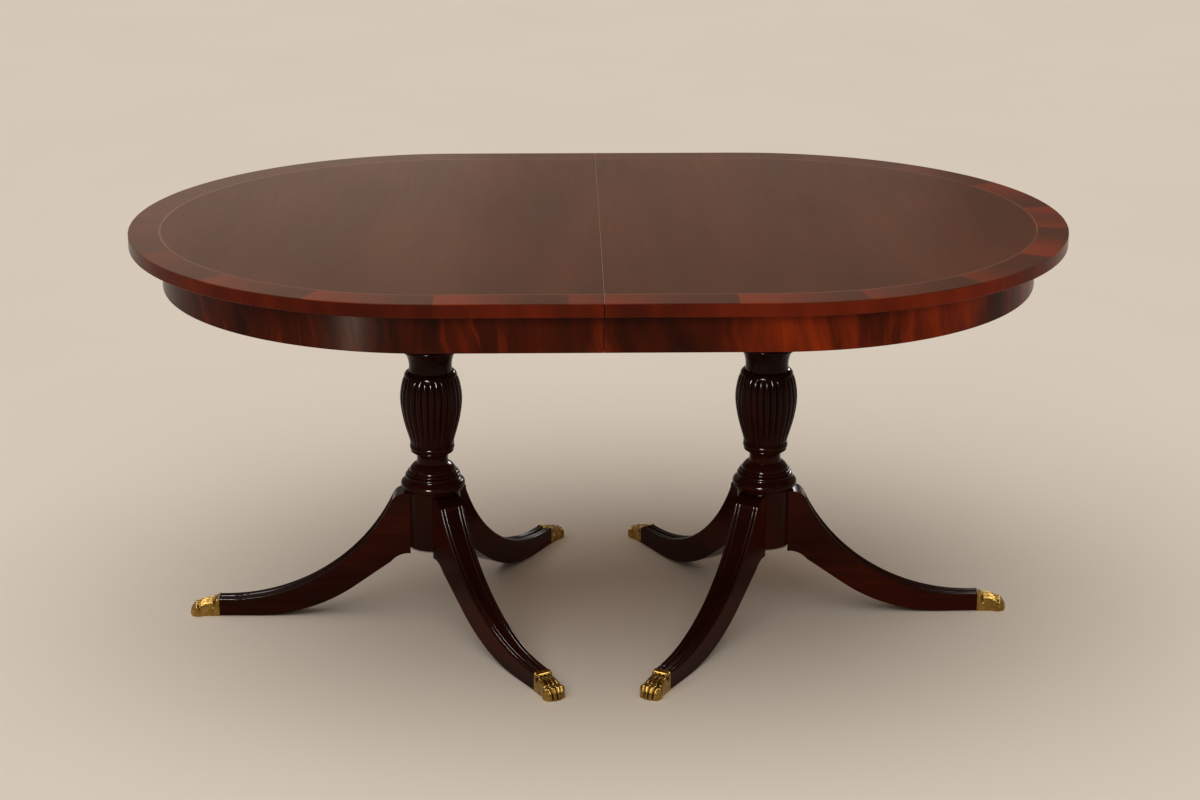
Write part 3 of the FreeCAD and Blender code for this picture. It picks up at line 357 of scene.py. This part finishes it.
# Metals
def cast_metal(name, worn, bright, hollow_shade_tone, roughness, fine_scale):
    """Metal with soft cast unevenness in patches, and painted shade in its hollows."""
    shader = Shader(name)
    place = shader.place()
    cloud = shader.noise(place, (70.0, 70.0, 70.0), detail=4.0, roughness=0.6)
    fine = shader.noise(place, fine_scale)
    colour = shader.ramp(cloud, [(0.3, worn), (0.62, bright)])
    # Painted shade in the hollows, clefts and creases of the caps, and under their band
    hollow = shader.add("Attribute", attribute_name="hollow").outputs["Fac"]
    colour = shader.mix(hollow, colour, hollow_shade_tone)
    rough = shader.blend_of((cloud, 0.14), (hollow, 0.25), (1.0, roughness - 0.07))
    shader.bump(shader.blend_of((cloud, 1.0), (fine, 0.25)), 0.12, distance=0.0003)
    return shader.finish(colour, rough, metallic=1.0)


field = grain_wood("field_veneer_wood", (srgb(55, 25, 11), srgb(71, 34, 17), srgb(85, 43, 23)),
                   y_axis, roughness=0.34, bump=0.08, specular=0.12, contrast=0.75, seam=True)
crossband = crossband_wood("crossband_wood",
                           (srgb(64, 29, 14), srgb(80, 33, 14), srgb(108, 38, 13)),
                           cut_length=0.215, first_cut=0.057, specular=0.1)
edge = flame_wood("edge_wood", (srgb(58, 14, 4), srgb(80, 22, 5), srgb(102, 30, 8)),
                  plumes=0.4, specular=0.06)
apron = flame_wood("apron_wood", (srgb(37, 11, 3), srgb(66, 19, 4), srgb(140, 45, 11)),
                   plumes=0.9, specular=0.05)
string = string_wood("string_wood", srgb(78, 41, 22), srgb(116, 70, 40), specular=0.25)
turned = grain_wood("turned_wood", (srgb(15, 4, 1), srgb(31, 7, 2), srgb(48, 12, 4)),
                    z_axis, roughness=0.12, bump=0.04, specular=0.07)
# Leg grain runs out along each leg; upper faces darkened, partly by a dark glaze, partly as painted
# shade
leg_woods = {}
for turn in (0, 60, -60):
    leg_woods[turn] = grain_wood(f"leg_wood_{turn}",
                                 (srgb(18, 4, 1), srgb(37, 8, 2), srgb(56, 14, 4)),
                                 x_axis, roughness=0.17, bump=0.04, specular=0.06, turn=turn,
                                 stain_and_shade=0.75)
core = grain_wood("core_wood", (srgb(112, 80, 50), srgb(152, 114, 74), srgb(178, 140, 96)),
                  y_axis, roughness=0.6, bump=0.3, specular=0.3)
block_wood = grain_wood("block_wood", (srgb(104, 70, 42), srgb(140, 98, 60), srgb(166, 122, 78)),
                        z_axis, roughness=0.6, bump=0.3, specular=0.3)
slide_wood = grain_wood("slide_wood",
                        (srgb(144, 102, 62), srgb(180, 138, 90), srgb(202, 162, 114)),
                        x_axis, roughness=0.42, bump=0.2, specular=0.4)
# The brass's darkest tone is painted shade in the caps' hollows
brass = cast_metal("brass", srgb(128, 98, 43), srgb(178, 145, 78), srgb(50, 30, 10),
                   roughness=0.16, fine_scale=(900.0, 900.0, 900.0))
steel = cast_metal("steel", srgb(120, 120, 118), srgb(168, 168, 166), srgb(60, 58, 55),
                   roughness=0.36, fine_scale=(900.0, 60.0, 900.0))

# Material of each kind of CAD piece, by the end of its name; the first that fits is taken
finishes = [
    ("field_veneer", field),
    ("string_inlay", string),
    ("crossband", crossband),
    ("edge_lipping", edge),
    ("_rail", apron),
    ("_bend", apron),
    ("top_core", core),
    ("glue_blocks", block_wood),
    ("bearer", slide_wood),
    ("middle_runner", slide_wood),
    ("slide_front", slide_wood),
    ("slide_back", slide_wood),
    ("column", turned),
    ("leg_outer", leg_woods[0]),
    ("left_leg_front", leg_woods[60]),
    ("right_leg_back", leg_woods[60]),
    ("leg_front", leg_woods[-60]),
    ("leg_back", leg_woods[-60]),
    ("paw_nails", brass),
    ("lock_lever", brass),
    ("lock_plates", brass),
    ("lock_keepers", brass),
    ("", steel),
]
for name, node in frame["nodes"].items():
    finish = next(material for end, material in finishes if name.endswith(end))
    node.data.materials.clear()
    node.data.materials.append(finish)


# Brass paw caps, drawn in millimetres: x from the rear of the sleeve, y across, z up
millimetre = 0.001
paw_reach = 407
paw_columns = 132
paw_slope_rows = 92
arch_steps = 400
curve_steps = 20
floor_clearance = 0.02
# Side view over the middle: flat band, then slope, knuckles and toes down to the floor
paw_band = [(0, 35.4), (0.3, 35.9), (0.8, 35.6), (1.3, 35.2), (1.8, 34.8), (2.6, 34.1), (3.4, 33.5),
            (4.2, 32.9), (4.7, 32.5), (5.2, 32.1), (5.7, 31.7), (6.2, 31.3)]
paw_slope = [(6.3, 29.6), (8, 29.4), (11, 29.6), (14, 29.8), (20, 28.8), (28, 27.3), (34, 25.7),
             (40, 23.3), (46, 20.5), (51, 17.0), (54.3, 12.6), (55.8, 7.6), (56.4, 3.2),
             (56.7, floor_clearance)]
# Half of the width: at the sleeve, what the toes add to it, and what their tips lose again
sleeve_half, toe_swell, tip_taper = 16.75, 3.8, 2.6
# How far the outer toes stand behind the middle ones
toe_setback = 6.5
# Places of the carving along the cap
groove_at, ridge_at, band_end = 3.1, 4.9, 6.2
wrist_at, deepest_at, crease_at, knuckle_at = 24, 27, 39, 46
# Clefts lie between four toes; this share of a toe's width leads down into one
toe_count = 4
cleft_share = 0.38
# Pearls under the band: shares of the half row at which they stand
pearl_shares = (-0.74, -0.25, 0.25, 0.74)
pearl_at, pearl_half_row, pearl_height, pearl_sag, pearl_radius = 9.0, 15.2, 30.2, 0.9, 2.6
# Edges sharper than this angle stay crisp
crisp_angle = math.radians(48)


def eased(value, low, high):
    """Smooth step from 0 at low to 1 at high."""
    share = min(max((value - low) / (high - low), 0.0), 1.0)
    return share * share * (3 - 2 * share)


def hump(value, middle, width):
    return math.exp(-((value - middle) / width) ** 2)


def evened(points, count):
    """Points at even distances along a line through the given ones."""
    runs = [0.0]
    for first, second in zip(points, points[1:]):
        runs.append(runs[-1] + (second - first).length)
    even = []
    place = 0
    for index in range(count):
        target = runs[-1] * index / (count - 1)
        while place < len(points) - 2 and runs[place + 1] < target:
            place += 1
        step = (target - runs[place]) / (runs[place + 1] - runs[place])
        even.append(points[place].lerp(points[place + 1], min(max(step, 0.0), 1.0)))
    return even


def rounded(points):
    """Many points along a smooth curve through the given ones."""
    fine = []
    for index in range(len(points) - 1):
        before = Vector(points[max(index - 1, 0)])
        start, stop = Vector(points[index]), Vector(points[index + 1])
        after = Vector(points[min(index + 2, len(points) - 1)])
        for part in range(curve_steps):
            step = part / curve_steps
            square, cube = step ** 2, step ** 3
            leave = (stop - before) / 2 * (cube - 2 * square + step)
            arrive = (after - start) / 2 * (cube - square)
            along = start * (2 * cube - 3 * square + 1) + stop * (3 * square - 2 * cube)
            fine.append(along + (leave + arrive))
    fine.append(Vector(points[-1]))
    return fine


def paw_section(x, top):
    """Plain cap at one place: upright sides, arched top, and outer toes set back."""
    half = sleeve_half + toe_swell * eased(x, 24, 43) - tip_taper * eased(x, 45, 58)
    power = 0.2 + 0.12 * eased(x, 6, 7) + 0.12 * eased(x, 8, 34)
    arch = []
    for step in range(arch_steps + 1):
        angle = math.pi * step / arch_steps
        across = math.copysign(abs(math.cos(angle)) ** power, math.cos(angle))
        arch.append(Vector((across * half, abs(math.sin(angle)) ** power * top)))
    section = []
    for y, z in evened(arch, paw_columns):
        across = y / half
        back = toe_setback * across ** 2 * eased(x, 26, 56)
        section.append((Vector((x - back, y, z)), across, z / top))
    return section


def paw_carving(x, across, up):
    """Height of the carving over the plain cap, and how much painted shade it gets as a hollow."""
    band = (1 - eased(x, band_end, band_end + 0.1)) * eased(up, 0.5, 0.75)
    depth = band * (0.5 + 0.6 * hump(x, ridge_at, 1.0))
    # Painted shade in the band's groove, and painted shadow under its front edge where the pearls
    # sit
    hollow = band * hump(x, groove_at, 0.6) * 0.5
    hollow += eased(x, band_end, 6.7) * (1 - eased(x, 11, 14)) * eased(up, 0.5, 0.9)
    toe_place = (across + 1) * toe_count / 2
    gap = min(abs(toe_place - line) for line in range(1, toe_count))
    lobe = math.sin(math.pi / 2 * min(gap / cleft_share, 1.0)) ** 0.75
    start = eased(x, 10.5, 17)
    cleft = start * (2.2 + 2.4 * hump(x, deepest_at, 11) + 1.6 * eased(x, 45, 53))
    knuckle = 2.1 * hump(x, knuckle_at, 3.6) + 0.9 * hump(x, wrist_at, 7)
    crease = 0.9 * hump(x, crease_at, 2.4)
    face = eased(up, 0.05, 0.5)
    depth += cleft * (lobe - 1.0) + start * face * lobe * (knuckle - crease)
    # Painted shade in the clefts between the toes and in the crease
    hollow += start * (1 - eased(lobe, 0.15, 0.7)) * (0.75 + 0.25 * hump(x, deepest_at, 12))
    hollow += start * face * 0.35 * crease
    return depth, min(hollow, 1.0)


def paw_form():
    """Cap of arched sections along its side view, carved, with a row of pearls under its band."""
    form = bmesh.new()
    # Share of painted shade at each point
    shade = form.verts.layers.float.new("hollow")
    side = [Vector(point) for point in paw_band] + evened(rounded(paw_slope), paw_slope_rows)
    plain = [paw_section(x, top) for x, top in side]
    last_row, last_column = len(side) - 1, paw_columns - 1
    grid = []
    for row, (x, top) in enumerate(side):
        before, here, after = plain[max(row - 1, 0)], plain[row], plain[min(row + 1, last_row)]
        line = []
        for column, (spot, across, up) in enumerate(here):
            along = after[column][0] - before[column][0]
            over = here[min(column + 1, last_column)][0] - here[max(column - 1, 0)][0]
            depth, hollow = paw_carving(x, across, up)
            raised = spot + over.cross(along).normalized() * depth
            raised.z = floor_clearance if row == last_row else max(raised.z, floor_clearance)
            vertex = form.verts.new(raised)
            vertex[shade] = hollow
            line.append(vertex)
        grid.append(line)
    for first, second in zip(grid, grid[1:]):
        for column in range(last_column):
            form.faces.new((first[column], first[column + 1], second[column + 1], second[column]))
        form.faces.new((first[0], second[0], second[-1], first[-1]))
    form.faces.new(grid[0])
    form.faces.new(grid[-1])
    bmesh.ops.recalc_face_normals(form, faces=form.faces)
    for share in pearl_shares:
        middle = Vector((pearl_at, share * pearl_half_row, pearl_height - pearl_sag * share ** 2))
        pearl = bmesh.ops.create_icosphere(form, subdivisions=3, radius=pearl_radius)["verts"]
        for vertex in pearl:
            vertex.co += middle
    bmesh.ops.scale(form, vec=(millimetre, millimetre, millimetre), verts=form.verts)
    mesh = bpy.data.meshes.new("paw_cap")
    form.to_mesh(mesh)
    form.free()
    mesh.shade_smooth()
    mesh.set_sharp_from_angle(angle=crisp_angle)
    mesh.materials.append(brass)
    return mesh


def paw_cap(mesh, name, body, node, pedestal, turn):
    """Cap at the end of one leg, which points away from its pedestal at an angle in degrees."""
    reach = Matrix.Translation((paw_reach * millimetre, 0, 0))
    outward = Matrix.Rotation(math.radians(turn), 4, "Z") @ reach
    mesh.transform(Matrix.Translation((pedestal, 0, 0)) @ outward)
    cap = bpy.data.objects.new(name, mesh)
    scene.collection.objects.link(cap)
    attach(cap, body)
    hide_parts(node)


paw_mesh = paw_form()
column_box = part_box("right_column")
pedestal_offset = (column_box[0].x + column_box[1].x) / 2
for side, sign in (("left", -1), ("right", 1)):
    turns = {"outer": 90 - 90 * sign, "back": 90 + sign * 30, "front": 270 - sign * 30}
    for place, turn in turns.items():
        paw_cap(paw_mesh.copy(), f"{side}_{place}_paw_cap", f"{side}_half", f"{side}_paw_{place}",
                sign * pedestal_offset, turn)
bpy.data.meshes.remove(paw_mesh)

# Plain pale floor, which lets the underside be seen from below
floor_reach = 90
floor_corners = [(-floor_reach, -floor_reach, 0), (floor_reach, -floor_reach, 0),
                 (floor_reach, floor_reach, 0), (-floor_reach, floor_reach, 0)]
floor_mesh = bpy.data.meshes.new("floor")
floor_mesh.from_pydata(floor_corners, [], [(0, 1, 2, 3)])
floor = bpy.data.objects.new("floor", floor_mesh)
scene.collection.objects.link(floor)
floor_shader = Shader("floor")
floor_cloud = floor_shader.noise(floor_shader.place(), (1.2, 1.2, 1.2))
floor_tone = floor_shader.ramp(floor_cloud,
                               [(0.3, srgb(223, 215, 204)), (0.7, srgb(226, 218, 207))])
floor_mesh.materials.append(floor_shader.finish(floor_tone, roughness=0.8, specular=0.1))
under = floor_shader.add("NewGeometry").outputs["Backfacing"]
clear = floor_shader.add("BsdfTransparent").outputs[0]
solid = floor_shader.surface.outputs[0]
seen = floor_shader.add("MixShader", [under, solid, clear]).outputs[0]
floor_shader.fill(floor_shader.tree.nodes["Material Output"].inputs["Surface"], seen)

# Colours of the lamps
soft_white = (1.0, 0.96, 0.91)
clear_white = (1.0, 1.0, 0.97)
warm = (1.0, 0.83, 0.65)
amber = (1.0, 0.74, 0.54)


def lamp(pieces, name, place, aim, size, power, colour=soft_white):
    """A soft lamp that lights only some pieces, and leaves the floor to the overhead light."""
    data = bpy.data.lights.new(name, "AREA")
    data.shape = "RECTANGLE"
    data.size, data.size_y = size
    data.energy = power
    data.color = colour
    light = bpy.data.objects.new(name, data)
    light.location = place
    light.rotation_euler = (Vector(aim) - Vector(place)).to_track_quat("-Z", "Y").to_euler()
    light.visible_camera = False
    light.light_linking.receiver_collection = pieces
    scene.collection.objects.link(light)
    return light


# Pieces that the lamps tell apart: veneers of the top and all that is below them, and of these
# the dark polished woods, the aprons and the brass
every_piece = bpy.data.collections.new("every_piece")
veneers = bpy.data.collections.new("veneers")
below_top = bpy.data.collections.new("below_top")
polished = bpy.data.collections.new("polished")
aprons = bpy.data.collections.new("aprons")
brasses = bpy.data.collections.new("brasses")
for piece in scene.objects:
    if piece.type == "MESH" and piece is not floor:
        finish = piece.data.materials[0]
        every_piece.objects.link(piece)
        (veneers if finish in (field, crossband, string) else below_top).objects.link(piece)
        if finish in (turned, *leg_woods.values()):
            polished.objects.link(piece)
        if finish is apron:
            aprons.objects.link(piece)
        if finish is brass:
            brasses.objects.link(piece)

# Even light from both sides, its gloss kept off the top
table_middle = (0, 0, 0.4)
soft_lamps = [
    ("front_left", (-1.25, -4.3, 2.3), 50),
    ("front_right", (1.7, -4.2, 2.4), 48),
    ("back_left", (-1.7, 4.2, 2.4), 36),
    ("back_right", (1.25, 4.3, 2.3), 36),
]
soft_size = (0.6, 1.0)
for name, place, power in soft_lamps:
    even = lamp(every_piece, name, place, table_middle, soft_size, power)
    even.visible_glossy = False
    gloss = lamp(below_top, name + "_gloss", place, table_middle, soft_size, power)
    gloss.visible_diffuse = False

# Softboxes that show only as highlights: on the polished woods, on the bend of the apron, low
# ones on the top, and high ones on the brass
softboxes = [
    (polished, "front_softbox", (-1.3, -4.0, 2.0), table_middle, (1.0, 0.8), 680),
    (polished, "back_softbox", (1.3, 4.0, 2.0), table_middle, (1.0, 0.8), 60),
    (aprons, "left_strip", (-1.5, -2.1, 0.75), (-0.4, -0.5, 0.6), (0.15, 1.4), 46, amber),
]
panel_distance, panel_height, panel_rise = 4.2, 1.2, 1.2
top_middle = (0, 0, 0.76)
for name, side in (("back", 1), ("front", -1)):
    for part, reach, width, power in (("near", 1.7, 2.8, 5.5), ("wide", 0.9, 4.6, 8.0)):
        place = (-side * reach, side * panel_distance, panel_height)
        softboxes.append((veneers, f"{name}_{part}_panel", place, top_middle, (width, panel_rise),
                          power, warm))
for name, x, y in (("front_left", -1.9, -1.1), ("front_right", 1.9, -1.1),
                   ("back_left", -1.9, 1.1), ("back_right", 1.9, 1.1)):
    softboxes.append((brasses, name + "_brass", (x, y, 1.7), (0, 0, 0), (0.8, 0.8), 10.0,
                      clear_white))
for softbox in softboxes:
    lamp(*softbox).visible_diffuse = False

# Overhead light, which alone lights the floor
sun_data = bpy.data.lights.new("overhead", "SUN")
sun_data.energy = 2.2
sun_data.angle = math.radians(85)
sun_data.color = (1.0, 0.97, 0.93)
sun = bpy.data.objects.new("overhead", sun_data)
sun.rotation_euler = Vector((0.3, 0.5, -2.0)).to_track_quat("-Z", "Y").to_euler()
scene.collection.objects.link(sun)

world = bpy.data.worlds.new("studio")
world.use_nodes = True
scene.world = world
backdrop = world.node_tree.nodes["Background"]
backdrop.inputs["Color"].default_value = srgb(238, 220, 202) + (1.0,)
backdrop.inputs["Strength"].default_value = 0.27

# Camera at the photograph's angle; the angles are in radians
camera_place = (-0.06706, -4.22885, 1.80043)
yaw, pitch, roll = 0.016339, 0.315637, -0.000311
camera_data = bpy.data.cameras.new("camera")
camera_data.sensor_width = 36
camera_data.lens = 72.36
camera_data.clip_end = 250
camera = bpy.data.objects.new("camera", camera_data)
forward = Vector((math.sin(yaw) * math.cos(pitch), math.cos(yaw) * math.cos(pitch),
                  -math.sin(pitch)))
right = Vector((math.cos(yaw), -math.sin(yaw), 0))
up = right.cross(forward)
rolled_right = right * math.cos(roll) + up * math.sin(roll)
rolled_up = up * math.cos(roll) - right * math.sin(roll)
aimed = Matrix((rolled_right, rolled_up, -forward)).transposed().to_4x4()
camera.matrix_world = Matrix.Translation(camera_place) @ aimed
scene.collection.objects.link(camera)
scene.camera = camera
scene.view_settings.view_transform = "Standard"
